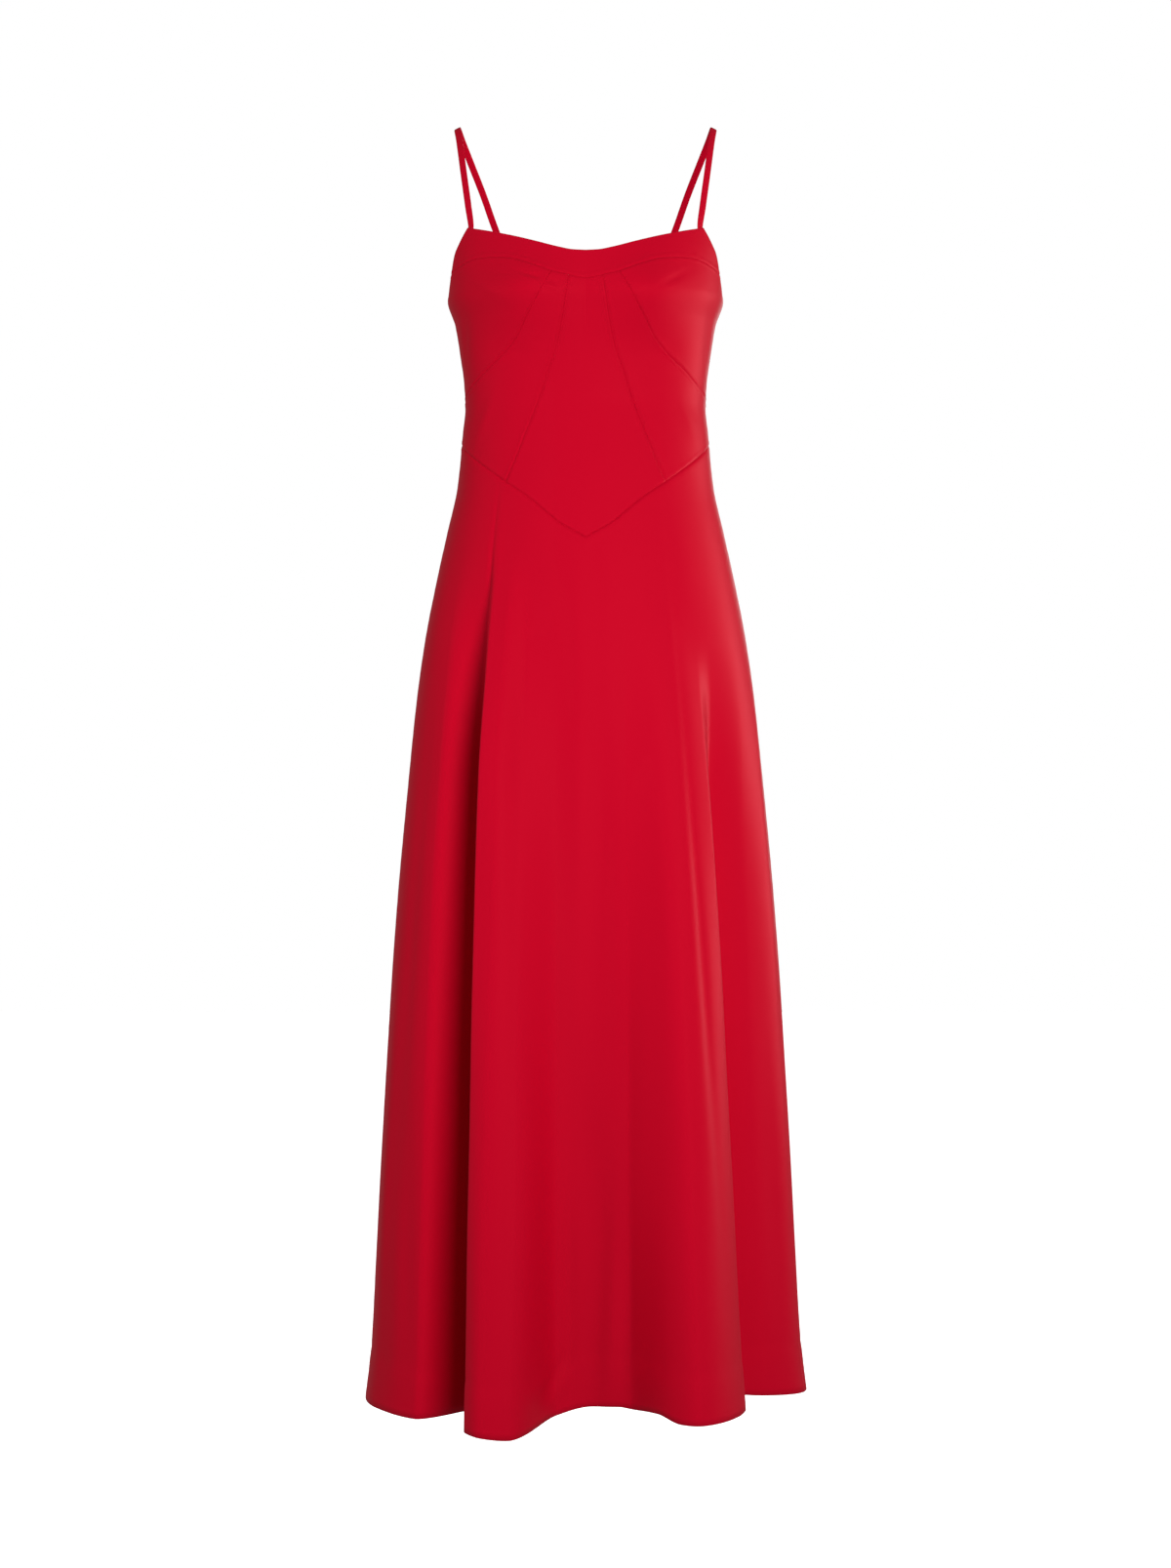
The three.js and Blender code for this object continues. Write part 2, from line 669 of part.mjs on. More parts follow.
// Pull tab hanging from its bar, with a window around the slider's loop
function pullGeometry() {
  const half = PULL.width / 2;
  const low = -PULL.length;
  const outline = [
    [-half * 0.8, PULL.bar / 2], [half * 0.8, PULL.bar / 2], [half * 0.9, low * 0.3],
    [half, low + 3], [half * 0.8, low + 1], [half * 0.4, low + 0.1],
    [-half * 0.4, low + 0.1], [-half * 0.8, low + 1], [-half, low + 3], [-half * 0.9, low * 0.3],
  ];
  const plate = new wasm.CrossSection([outline.reverse()]).extrude(PULL.thickness, 0, 0, [1, 1], true);
  const windowZ = -PULL.bar / 2 - PULL.windowDrop / 2;
  const opening = wasm.Manifold.cube([PULL.window, PULL.windowDrop, 4], true).translate([0, windowZ, 0]);
  return fromManifold(plate.subtract(opening).rotate([90, 0, 0]).translate([0, loopY, sliderZ]));
}

const satin = { color: 0xcd0420, roughness: 0.38, metalness: 0 };
const tapeLook = { color: 0xb00a24, roughness: 0.8, metalness: 0 };
const metal = { color: 0xb3202c, roughness: 0.35, metalness: 0.6 };
const dressGroup = new THREE.Group();
dressGroup.name = "corset_maxi_dress";

function addPart(name, geometry, look = satin) {
  const mesh = new THREE.Mesh(geometry, new THREE.MeshStandardMaterial(look));
  mesh.name = name;
  dressGroup.add(mesh);
}

const ALL_SEWN = { top: true, bottom: true, left: true, right: true };

// Bodice
addPart("neck_band", panel(ring, neckBandGrid, { bottom: true }));
addPart("centre_front", panel(ring, centreGrid, ALL_SEWN));
addPart("cup_left", panel(ring, cupGrid, { top: true, bottom: true, left: true }));
addPart("cup_right", panel(ring, mirrorGrid(cupGrid), { top: true, bottom: true, right: true }));
addPart("side_front_left", panel(ring, sideFrontGrid, ALL_SEWN));
addPart("side_front_right", panel(ring, mirrorGrid(sideFrontGrid), ALL_SEWN));
addPart("back_left", panel(ring, backGrid(), { bottom: true, left: true, right: true }));
addPart("back_right", panel(ring, mirrorGrid(backGrid()), { bottom: true, left: true, right: true }));

// Skirt
const skirtSewn = { top: true, left: true, right: true };
addPart("skirt_front", panel(skirtPoint, skirtGrid(skirtFrontColumns), skirtSewn));
addPart("skirt_back_left", panel(skirtPoint, skirtGrid(skirtLeftColumns), skirtSewn));
addPart("skirt_back_right", panel(skirtPoint, skirtGrid(skirtRightColumns), skirtSewn));

// Straps
addPart("strap_left", strapGeometry(1));
addPart("strap_right", strapGeometry(-1));

// Concealed zip
const tapeSkin = -(WALL + PIECE_GAP);
addPart("zip_tape", panel(ring, zipTapeGrid(), {}, tapeSkin, TAPE_THICKNESS), tapeLook);
addPart("zip_slider", sliderGeometry(), metal);
addPart("zip_pull", pullGeometry(), metal);

export default dressGroup;
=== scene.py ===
# Corset maxi dress in red satin, shown as in the photo.
# Sizes are in millimetres unless a name or a comment says metres. Each mesh is in metres.
import math

import bpy
import numpy as np
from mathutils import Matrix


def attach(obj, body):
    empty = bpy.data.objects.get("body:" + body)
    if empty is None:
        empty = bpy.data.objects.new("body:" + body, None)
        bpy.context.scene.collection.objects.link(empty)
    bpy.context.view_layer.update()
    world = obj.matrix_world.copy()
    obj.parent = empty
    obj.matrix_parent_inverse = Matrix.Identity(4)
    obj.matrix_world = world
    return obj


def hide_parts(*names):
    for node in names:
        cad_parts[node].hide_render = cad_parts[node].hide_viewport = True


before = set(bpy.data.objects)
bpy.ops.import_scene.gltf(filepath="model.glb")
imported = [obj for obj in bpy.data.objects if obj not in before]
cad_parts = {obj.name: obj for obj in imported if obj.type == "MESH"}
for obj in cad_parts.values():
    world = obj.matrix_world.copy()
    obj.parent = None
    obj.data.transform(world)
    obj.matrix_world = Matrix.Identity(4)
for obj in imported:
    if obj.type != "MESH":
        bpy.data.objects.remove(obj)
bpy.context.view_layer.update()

# Camera at the photo's angle: level, square to the front, at half the frame's height
CAMERA_AWAY_M = 3.2
CAMERA_HEIGHT_M = -0.717
FRAME_HEIGHT_M = 1.7195
SENSOR_MM = 36.0

camera_data = bpy.data.cameras.new("camera")
camera = bpy.data.objects.new("camera", camera_data)
bpy.context.collection.objects.link(camera)
camera.location = (0.0, -CAMERA_AWAY_M, CAMERA_HEIGHT_M)
camera.rotation_euler = (math.radians(90), 0, 0)
camera_data.sensor_fit = "VERTICAL"
camera_data.sensor_height = SENSOR_MM
camera_data.lens = SENSOR_MM * CAMERA_AWAY_M / FRAME_HEIGHT_M
bpy.context.scene.camera = camera
bpy.context.scene.view_settings.view_transform = "Standard"

METRES_PER_MM = 0.001

# Cloth: wall, how far its rim rounds out, mean hem height, the height where folds may
# begin, and the length over which the early part of a fold grows
WALL = 1.2
RIM_ROUND = 0.35
HEM_Z = -1392.0
FOLD_REGION_TOP = -345.0
FOLD_SETTLE = 240.0

# Round sections of the form: height, half width, front depth, back depth, squareness
SECTIONS = np.array([
    (-60, 147, 80, 92, 2.35), (-110, 150, 94, 97, 2.35), (-150, 151.5, 105, 102, 2.35),
    (-187, 151, 109, 104, 2.35), (-216, 142.3, 103, 101, 2.3), (-248, 137, 95, 96, 2.3),
    (-280, 132.7, 89, 92, 2.3), (-305, 131.4, 86, 90, 2.3), (-330, 133.8, 88, 92, 2.3),
    (-393, 140.2, 96, 102, 2.2), (-441, 150.9, 102, 110, 2.15), (-489, 161.6, 107, 116, 2.1),
    (-553, 174.4, 112, 121, 2.05), (-617, 184, 115, 125, 2), (-714, 194.7, 119, 129, 2),
    (-842, 207, 124, 134, 2), (-1035, 220.2, 130, 141, 2), (-1227, 231, 135, 148, 2),
    (-1340, 237.4, 138, 151, 2), (-1420, 247, 140, 154, 2),
])

# Fullness of each cup: distance from the centre, height, rise, reach across and up
CUP = dict(x=70, z=-196, rise=15, across=44, high=38)

# Skirt fold lines: angle at the hem, angle at the waist, height of the start, how much of
# the fold is there at once, and how far it stands out (+) or sinks in (-) at the hem
FOLDS = np.array([
    (-180, -180, -560, 0.3, 6), (-166, -166, -540, 0.3, 34), (-152, -153, -540, 0.3, -34),
    (-137, -140, -500, 0.3, 38), (-124, -126, -500, 0.3, -30), (-108, -108, -580, 0.3, 16),
    (-90, -90, -560, 0.3, -2.5), (-76, -79, -560, 0.3, 3), (-62, -67, -520, 0.3, 9),
    (-48.5, -52, -470, 0.45, -50), (-42.2, -47, -470, 0.45, 46), (-37, -41, -470, 0.24, 57),
    (-28, -31, -540, 0, 51), (-13, -14, -600, 0, -20), (3, 3, -600, 0.12, -29),
    (20, 19, -600, 0, -21), (41, 41.5, -520, 0, 54), (57.3, 53, -560, 0.45, 15),
    (64.5, 60, -560, 0.45, -56), (76, 75, -580, 0.3, -34), (90, 90, -600, 0.3, -2),
    (104, 104, -580, 0.3, 9), (119, 120, -520, 0.3, -32), (133, 136, -500, 0.3, 36),
    (147, 149, -540, 0.3, -30), (163, 163, -540, 0.3, 36),
], dtype=float)

# Height of the hem edge around the skirt: angle, height
HEM_EDGE = [
    (-180, -1392), (-120, -1390), (-90, -1387), (-75, -1389), (-62, -1391), (-50, -1388),
    (-41, -1392), (-28, -1396), (-15, -1385), (3, -1376), (15, -1376), (22, -1378),
    (29, -1377), (35, -1383), (46, -1382), (54, -1381), (62, -1377), (75, -1380), (90, -1383),
    (130, -1390), (180, -1392),
]

# Seams of the wearer's left half: angle from centre front, height
NECK_EDGE = [
    (0, -150.5), (7, -149.9), (15.6, -146.7), (28.6, -139.6), (41, -132.3), (53.2, -125.2),
    (64.7, -118.6),
]
ARMHOLE_UPPER = [(64.7, -118.6), (69.1, -135), (71.8, -144.4), (75.2, -165.4)]
ARMHOLE_LOWER = [(75.2, -165.4), (77.6, -176), (81.4, -187), (90, -191)]
BAND_SEAM_CENTRE = [(0, -180.7), (5.4, -179.3), (9.2, -177.4)]
BAND_SEAM_SIDE_FRONT = [(9.2, -177.4), (18.7, -173.4)]
BAND_SEAM_CUP = [
    (18.7, -173.4), (26.5, -167.1), (33, -162.3), (39.4, -157.9), (45.2, -156), (51.5, -154.6),
    (56.6, -154.4), (61.5, -156.2), (66.5, -159.6), (75.2, -165.4),
]
CUP_SEAM = [
    (18.7, -173.4), (26.8, -201.5), (33.9, -221.8), (40.9, -241.5), (50.2, -258.4),
    (59.8, -271.5), (70.2, -284.6), (81.5, -295), (90, -300),
]
INNER_SEAM = [
    (9.2, -177.4), (12.3, -209.3), (17.8, -246.7), (27.2, -284.8), (36.5, -331.2),
    (42.3, -365.6), (47.1, -393.4),
]
SIDE_UPPER = [(90, -191), (90, -300)]
SIDE_LOWER = [(90, -300), (90, -346)]
WAIST_SEAM = [
    (0, -455.1), (4.6, -449.8), (14.4, -440), (24.2, -425.6), (34, -410.6), (47.1, -393.4),
    (64.2, -370.1), (72.6, -359.3), (82.5, -349.4), (90, -346), (120, -348), (180, -352),
]
BACK_EDGE = [(90, -191), (120, -195), (146, -194), (180, -199)]

# The back panels part a little above the zip: half width, depth, and how near the zip
BACK_MOUTH = dict(half=0.95, deep=30, nearness=12)

# Creases, listed one by one: angle, height, lean in degrees per 100 mm down, half width in
# degrees, half length, depth (- is a trough)
CREASES = [
    (-24, -1180, 1.0, 5.0, 170, 1.9), (-8, -1250, 0.5, 3.5, 120, -2.0),
    (12, -1270, -2.0, 4.0, 110, 2.2), (19, -1300, -1.5, 3.0, 80, -1.8),
    (24, -1120, -1.0, 4.0, 180, 1.4), (30, -900, 0.5, 4.5, 220, -1.2),
    (-12, -700, 0.0, 5.0, 200, -0.9), (-3, -720, 0.0, 4.5, 220, 0.9),
    (9, -760, 0.5, 5.0, 240, -0.8), (44, -800, 0.6, 3.0, 260, 1.2),
    (-46.6, -500, 0.0, 1.3, 70, -1.3), (-43.0, -520, 0.0, 2.4, 80, 0.8),
    (49, -950, 0.8, 2.2, 240, -1.6), (-58, -760, 0.4, 3.5, 180, 1.4),
    (-70, -900, -0.6, 3.5, 200, -1.6), (-78, -1150, -0.4, 3.0, 180, 1.5),
    (-66, -1240, 0.8, 3.0, 120, -1.6), (70, -1000, 0.3, 3.0, 220, 1.4),
    (81, -1180, 0.5, 3.0, 160, -1.6), (86, -800, 0.2, 3.5, 180, 1.4),
    (97, -1050, -0.5, 3.5, 200, -1.6), (112, -1150, 0.6, 3.2, 170, 1.5),
    (126, -820, 0.5, 3.0, 210, -1.6), (141, -1210, -0.8, 3.0, 130, 1.6),
    (156, -960, 0.4, 3.2, 220, -1.4), (171, -1230, 0.7, 3.0, 120, 1.6),
    (-172, -1010, -0.5, 3.2, 200, 1.5), (-159, -1240, 0.9, 2.8, 110, -1.6),
    (-145, -900, 0.5, 3.2, 210, 1.5), (-131, -1190, -0.7, 3.0, 150, -1.6),
    (-115, -1000, 0.5, 3.4, 200, 1.5), (-99, -1240, 0.6, 3.0, 110, -1.5),
    (-13, -1340, -22.0, 2.5, 24, -2.0), (-9, -1346, -22.0, 2.5, 22, 1.7),
    (-44, -254, 10.0, 9.0, 9, -0.9), (44, -254, -10.0, 9.0, 9, -0.8),
    (-27, -179, 120.0, 4.0, 8, -1.3), (-25, -186, 120.0, 4.0, 8, 0.9),
    (-40, -176, 130.0, 5.0, 8, -0.5), (-50, -190, 60.0, 4.0, 14, 0.5),
    (46, -179, -60.0, 3.0, 9, -1.0),
    (-72, -236, -14.0, 3.5, 26, -0.8), (74, -232, 12.0, 3.5, 26, -0.7),
    (-62, -322, -16.0, 3.5, 22, 0.7), (64, -330, 15.0, 3.5, 22, 0.6),
    (108, -262, 15.0, 3.0, 28, -0.8), (-112, -250, -15.0, 3.0, 28, -0.8),
    (132, -300, 12.0, 3.0, 26, 0.8), (-136, -296, -12.0, 3.0, 28, 0.8),
    (155, -236, 8.0, 2.6, 30, -0.7), (-158, -244, -8.0, 2.6, 30, -0.7),
]
LEAN_PER = 100

# Slow waves of free cloth: size, then two waves to multiply, each as turns around the
# form, rate down it and start
UNEVEN_WAVES = [
    (1.0, (7, 0.011, 0), (3, 0.017, 0)),
    (0.6, (17, -0.006, 1.3), (0, 0.009, 0.4)),
]
SKIRT_UNEVEN = 0.35

# Strap of the wearer's left: x, y, z between its sewn ends
STRAP_PATH = [
    (126.4, -54.5, -94), (131.8, -42, -56), (137.4, -21, -16), (140.2, -1, 0.9),
    (135.6, 23, -9), (125.9, 46, -31), (114.3, 70, -58), (103.4, 90, -87), (89, 101, -124),
    (77, 104, -160),
]
STRAP_FRONT_END = [(63.8, -135), (63.7, -127), (63.6, -118.4)]
STRAP_BACK_END = [(146, -188), (146, -200), (146, -209)]

# Point that the strap's flat side faces away from, and the strap's own section
STRAP_AIM = (95, 20, -90)
STRAP_WIDTH = 7.6
STRAP_THICKNESS = 1.8
STRAP_FACE_POWER = 0.5
STRAP_EDGE_POWER = 0.8

# Between the cloth and what is sewn flat on its inside
SEWN_GAP = 0.45

# Seams: the dip at the join, the rise over the turnings inside, the pucker, the pressed
# edge, and how near the seam creases fade out
SEAM = dict(dip=0.42, waist_dip=0.75, dip_width=1.0, rise=0.20, turning=5.6, turning_edge=1.2,
            pucker=0.12, pucker_width=7, pressed=0.3, pressed_width=0.9, calm=14, half_gap=0.12)

# Hem: its turned-up part lifts the cloth, the stitches tug at it, and the edge waves
HEM = dict(turn=50, lift=0.6, lift_past=3, lift_edge=6, tug=0.7, tug_width=6, wave=0.5,
           wave_height=34, doubled=0.7, doubled_edge=2)

# Ripples along an edge: two waves to multiply, and the start of the second
PUCKER_RIPPLE = (2.9, 7.3, 1.0)
HEM_TUG_RIPPLE = (6.1, 17.0, 0.7)
HEM_EDGE_RIPPLE = (23.0, 61.0, 0.0)

# Steps of each panel's grid. Opposite edges of a panel have the same number
BAND_CENTRE_STEPS = 16
BAND_SIDE_STEPS = 14
CUP_TOP_STEPS = 84
CUP_SEAM_STEPS = 112
ARMHOLE_STEPS = 46
CENTRE_STEPS = 50
INNER_STEPS = 150
BACK_STEPS = (150, 120)
SKIRT_ROWS = 150
SKIRT_QUARTER_STEPS = 150
SKIRT_FOLDED_STEPS = 155
STRAP_STEPS = 320
STRAP_SIDES = 28

# Skirt grids: rows lie closer near the waist, and columns where the cloth bends
ROW_CROWDING = 1.1
BEND_WEIGHT = 30
FINE_STEPS = 1440
WAIST_ROUNDS = 40

# Stitches: the first and last keep clear of the panel's corners
STITCH = dict(pitch=3.0, length=2.3, radius=0.2, inset=2.6, first=3.0, last=4.0)
STITCH_SIDES = 6

# Rings of one stitch: share of its length, lift off the cloth, share of its radius
STITCH_RINGS = [(0.0, -0.15, 0.6), (0.3, 0.12, 1.0), (0.7, 0.12, 1.0), (1.0, -0.15, 0.6)]

# Zip: its teeth alternate to either side of the middle, just clear of the tape
ZIP_TOP_Z = -219.0
ZIP_END_Z = -531.0
TAPE_THICKNESS = 1.0
TOOTH = dict(pitch=2.0, across=4.0, high=1.1, deep=1.3, shift=0.5, clear=0.05)

# Height where the bodice panels are measured for their cut width, and the samples for it
BODICE_CUT_Z = -230
CUT_SAMPLES = 200

# Colours, linear
SATIN = (0.50, 0.0010, 0.016, 1)
TAPE = (0.36, 0.004, 0.018, 1)
METAL = (0.42, 0.012, 0.022, 1)
FLOOR = (0.93, 0.93, 0.93, 1)
WHITE = (1, 1, 1, 1)
SHEEN_ROUGHNESS = 0.18
SHEEN_TINT = (1.0, 0.6, 0.66, 1)

# Grain of a cloth: scale of the noise, strength, and height in metres
SATIN_GRAIN = (900, 0.12, 0.0004)
TAPE_GRAIN = (1400, 0.3, 0.0004)
GRAIN_DETAIL = 2.0

# Floor, in metres: half width, near edge, far edge and height
FLOOR_BOX = dict(half=8, near=-6, far=10, z=-1.75)

# Area lights, in metres: name, place, aim, size, power, spread in degrees, seen in shine
LIGHTS = [
    ("front", (0.9, -2.4, -0.42), (0, 0, -0.52), (1.2, 1.2), 22.5, 100, False),
    ("right", (2.2, 0.6, -0.4), (0, 0, -0.38), (0.7, 1.2), 4.2, 80, True),
    ("left", (-2.3, -0.8, -0.3), (0, 0, -0.6), (0.9, 1.8), 24, 180, False),
    ("back", (0.6, 2.6, -0.2), (0, 0, -0.6), (1.4, 1.8), 26, 180, True),
]
WORLD_LIGHT = 0.20
BACKDROP_LIGHT = 1.0


# Small steps for measuring a direction, and the least length and rate that count
NEAR = 1.0
NEAR_DEG = 0.2
SKIRT_NEAR_DEG = 0.5
TINY = 1e-9
FLAT = 1e-12


# Curves through tables
def smooth(t):
    """Eased share from 0 to 1."""
    t = np.clip(t, 0, 1)
    return t * t * (3 - 2 * t)


def meeting_slope(step_before, step_after, rate_before, rate_after):
    """Slope where two steps of a table meet, so that a curve never overshoots there."""
    before = 2 * step_after + step_before
    after = step_after + 2 * step_before
    same_way = rate_before * rate_after > FLAT
    safe_before = np.where(same_way, rate_before, 1)
    safe_after = np.where(same_way, rate_after, 1)
    slope = (before + after) / (before / safe_before + after / safe_after)
    return np.where(same_way, slope, 0)


def between(u, step, start, end, start_slope, end_slope):
    """Cubic between two values with given slopes, at share u of the step."""
    rise = smooth(u)
    bend = step * (u * (1 - u) ** 2 * start_slope + u * u * (u - 1) * end_slope)
    return start * (1 - rise) + end * rise + bend


def curve(x, y):
    """Smooth curve through table rows that never overshoots between them."""
    x = np.asarray(x, float)
    y = np.asarray(y, float)
    order = np.argsort(x)
    x, y = x[order], y[order]
    step = np.diff(x)
    rate = np.diff(y) / step
    inner = meeting_slope(step[:-1], step[1:], rate[:-1], rate[1:])
    slope = np.concatenate([rate[:1], inner, rate[-1:]])

    def at(t):
        t = np.clip(np.asarray(t, float), x[0], x[-1])
        i = np.clip(np.searchsorted(x, t) - 1, 0, len(x) - 2)
        return between((t - x[i]) / step[i], step[i], y[i], y[i + 1], slope[i], slope[i + 1])

    return at


def table(rows):
    """Smooth curve of a table's second column over its first."""
    return curve([row[0] for row in rows], [row[1] for row in rows])


def unit(v):
    """Vectors made one long."""
    return v / np.maximum(np.linalg.norm(v, axis=-1, keepdims=True), TINY)


def run_length(points):
    """Distance along a row of points from its first one."""
    return np.concatenate([[0], np.cumsum(np.linalg.norm(np.diff(points, axis=0), axis=1))])


def sample(at, far, rows):
    """Values of each column of rows at given distances."""
    return np.stack([np.interp(at, far, rows[:, c]) for c in range(rows.shape[1])], -1)


# Form of the dress
half_at, front_at, back_at, square_at = (curve(SECTIONS[:, 0], SECTIONS[:, k]) for k in (1, 2, 3, 4))
fold_round = np.concatenate([FOLDS + (turn, turn, 0, 0, 0) for turn in (-360, 0, 360)])
waist_angle = curve(fold_round[:, 0], fold_round[:, 1])
waist_at = table(WAIST_SEAM)
hem_at = table(HEM_EDGE)


def ring(deg, z):
    """Point of the plain form at an angle from centre front and a height."""
    turn = np.radians(deg)
    s, c = np.sin(turn), np.cos(turn)
    n = square_at(z)
    deep = np.where(c > 0, front_at(z), back_at(z))
    r = ((np.abs(s) / half_at(z)) ** n + (np.abs(c) / deep) ** n) ** (-1 / n)
    across = (np.abs(r * s) - CUP["x"]) / CUP["across"]
    high = (z - CUP["z"]) / CUP["high"]
    cup = CUP["rise"] * np.exp(-across ** 2 - high ** 2) * np.sqrt(np.maximum(c, 0))
    return np.stack([r * s, -r * c - cup, z + 0 * r], -1)


def ring_outward(deg, z):
    """Outward direction of the plain form, from points a little to each side."""
    down = ring(deg, z - NEAR) - ring(deg, z + NEAR)
    across = ring(deg + NEAR_DEG, z) - ring(deg - NEAR_DEG, z)
    return unit(np.cross(down, across))


def fold_out(at, z):
    """How far the folds move the skirt out at a fold position and a height."""
    i = np.clip(np.searchsorted(fold_round[:, 0], at) - 1, 1, len(fold_round) - 3)
    places, outs = [], []
    for k in (-1, 0, 1, 2):
        place, _, top, early, out_at_hem = np.moveaxis(fold_round[i + k], -1, 0)
        drop = np.maximum(top - z, 0)
        growth = early * smooth(drop / FOLD_SETTLE) + (1 - early) * drop / (top - HEM_Z)
        places.append(place)
        outs.append(out_at_hem * growth)
    step = [places[k + 1] - places[k] for k in range(3)]
    rate = [(outs[k + 1] - outs[k]) / step[k] for k in range(3)]
    slopes = [meeting_slope(step[k], step[k + 1], rate[k], rate[k + 1]) for k in (0, 1)]
    return between((at - places[1]) / step[1], step[1], outs[1], outs[2], *slopes)


def body_angle(at, z):
    """Angle on the form of a fold position, which drifts from waist to hem."""
    down = np.clip((FOLD_REGION_TOP - z) / (FOLD_REGION_TOP - HEM_Z), 0, 1)
    return waist_angle(at) + (at - waist_angle(at)) * down


def skirt(at, z):
    """Point of the skirt at a fold position (its angle at the hem) and a height."""
    deg = body_angle(at, z)
    along = ring(deg + SKIRT_NEAR_DEG, z) - ring(deg - SKIRT_NEAR_DEG, z)
    outward = unit(np.stack([along[..., 1], -along[..., 0], 0 * deg], -1))
    return ring(deg, z) + outward * fold_out(at, z)[..., None]


# Seams and panel grids
def seam(rows, count):
    """Even samples along a seam table, as rows of angle and height."""
    rows = np.array(rows, float)
    far = run_length(ring(rows[:, 0], rows[:, 1]))
    at = np.linspace(0, far[-1], count + 1)
    return np.stack([curve(far, rows[:, 0])(at), curve(far, rows[:, 1])(at)], -1)


def waist_seam(start, end, count):
    """Samples of the waist seam between two angles, set on its smooth curve."""
    deg = seam([row for row in WAIST_SEAM if start <= row[0] <= end], count)[:, 0]
    return np.stack([deg, waist_at(deg)], -1)


def joined(*runs):
    """Runs of samples end to end, without the samples that they share."""
    return np.concatenate([runs[0]] + [run[1:] for run in runs[1:]])


def mirror(rows):
    """A seam or a grid of the wearer's left, moved to the right half."""
    return rows[::-1] * (-1, 1)


def both_sides(half):
    """Seam across the whole front, from its left half."""
    return joined(mirror(half), half)


def patch(top, bottom, left, right):
    """Grid of angles and heights between four edges."""
    u = np.linspace(0, 1, len(top))[:, None, None]
    v = np.linspace(0, 1, len(left))[None, :, None]
    across = (1 - v) * top[:, None] + v * bottom[:, None]
    down = (1 - u) * left[None] + u * right[None]
    upper = (1 - u) * top[0] + u * top[-1]
    lower = (1 - u) * bottom[0] + u * bottom[-1]
    return across + down - (1 - v) * upper - v * lower


def outward_of(points):
    """Outward directions of a grid of points, from its own neighbours."""
    across = np.gradient(points, axis=0)
    down = np.gradient(points, axis=1)
    return unit(np.cross(down, across))


def edge_distances(points):
    """Distance in the cloth from each of a grid's four edges."""
    def walk(axis):
        step = np.linalg.norm(np.diff(points, axis=axis), axis=-1)
        start = np.zeros_like(np.take(step, [0], axis=axis))
        return np.concatenate([start, np.cumsum(step, axis=axis)], axis=axis)
    across, down = walk(0), walk(1)
    return {"left": across, "right": across[-1:] - across,
            "top": down, "bottom": down[:, -1:] - down}


# Relief of the cloth
def crease_lift(at, z):
    """Height of the listed creases."""
    lift = np.zeros_like(at)
    for place, height, lean, wide, long, deep in CREASES:
        off = at - place + lean * (z - height) / LEAN_PER
        lift += deep * np.exp(-(off / wide) ** 2 - ((z - height) / long) ** 2)
    return lift


def uneven(at, z):
    """Slight unevenness of cloth that hangs free."""
    turn = np.radians(at)
    lift = np.zeros_like(at)
    for size, *waves in UNEVEN_WAVES:
        first, second = (np.sin(turns * turn + rate * z + start) for turns, rate, start in waves)
        lift += size * first * second
    return lift


def ripple(run, waves):
    """Uneven ripple at a distance along an edge, from -1 to 1."""
    first, second, start = waves
    return np.sin(run / first) * np.sin(run / second + start)


def bump(away, width):
    """Round bump, 1 at its middle, at a distance from that."""
    return np.exp(-(away / width) ** 2)


def seam_lift(far, side, dip):
    """Lift of the cloth beside one sewn edge."""
    away = far[side]
    run = far["top"] if side in ("left", "right") else far["left"]
    turning = SEAM["rise"] * smooth((SEAM["turning"] - away) / SEAM["turning_edge"])
    pucker = SEAM["pucker"] * ripple(run, PUCKER_RIPPLE) * bump(away, SEAM["pucker_width"])
    return turning + pucker - dip * bump(away, SEAM["dip_width"])


def hem_lift(far):
    """Lift of the cloth near the hem."""
    up, run = far["bottom"], far["left"]
    turned_up = HEM["lift"] * smooth((HEM["turn"] + HEM["lift_past"] - up) / HEM["lift_edge"])
    pull = 0.5 + 0.5 * ripple(run, HEM_TUG_RIPPLE)
    tugs = HEM["tug"] * pull * bump(up - HEM["turn"], HEM["tug_width"])
    waves = HEM["wave"] * ripple(run, HEM_EDGE_RIPPLE) * bump(up, HEM["wave_height"])
    return turned_up - tugs + waves


def thickness(far, sewn, hem):
    """Thickness of the cloth: pressed at its seams, and doubled at the hem."""
    thick = np.full_like(far["left"], WALL)
    if hem:
        thick += HEM["doubled"] * smooth((HEM["turn"] - far["bottom"]) / HEM["doubled_edge"])
    for side in sewn:
        thick -= SEAM["pressed"] * bump(far[side], SEAM["pressed_width"])
    return thick


def draw_back(outer, sewn):
    """Move sewn edges back by half the gap that a seam leaves."""
    for side in sewn:
        lines = outer if side in ("left", "right") else outer.swapaxes(0, 1)
        edge, inner = (0, 1) if side in ("left", "top") else (-1, -2)
        lines[edge] += SEAM["half_gap"] * unit(lines[inner] - lines[edge])


# Meshes
def mesh_object(name, points, faces, material, smooth_faces=True):
    """Mesh of faces that all have the same number of corners."""
    data = bpy.data.meshes.new(name)
    flat = np.asarray(faces, dtype=np.int32)
    places = np.asarray(points) * METRES_PER_MM
    data.vertices.add(len(points))
    data.vertices.foreach_set("co", places.astype(np.float32).ravel())
    data.loops.add(flat.size)
    data.loops.foreach_set("vertex_index", flat.ravel())
    data.polygons.add(len(flat))
    data.polygons.foreach_set("loop_start", np.arange(len(flat), dtype=np.int32) * flat.shape[1])
    data.update(calc_edges=True)
    data.polygons.foreach_set("use_smooth", [smooth_faces] * len(flat))
    data.materials.append(material)
    data.validate()
    obj = bpy.data.objects.new(name, data)
    bpy.context.collection.objects.link(obj)
    return obj


def satin_piece(node, points, faces):
    """Satin mesh that stands for one solid of the frame."""
    obj = mesh_object("satin_" + node, points, faces, satin)
    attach(obj, "dress")
    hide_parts(node)


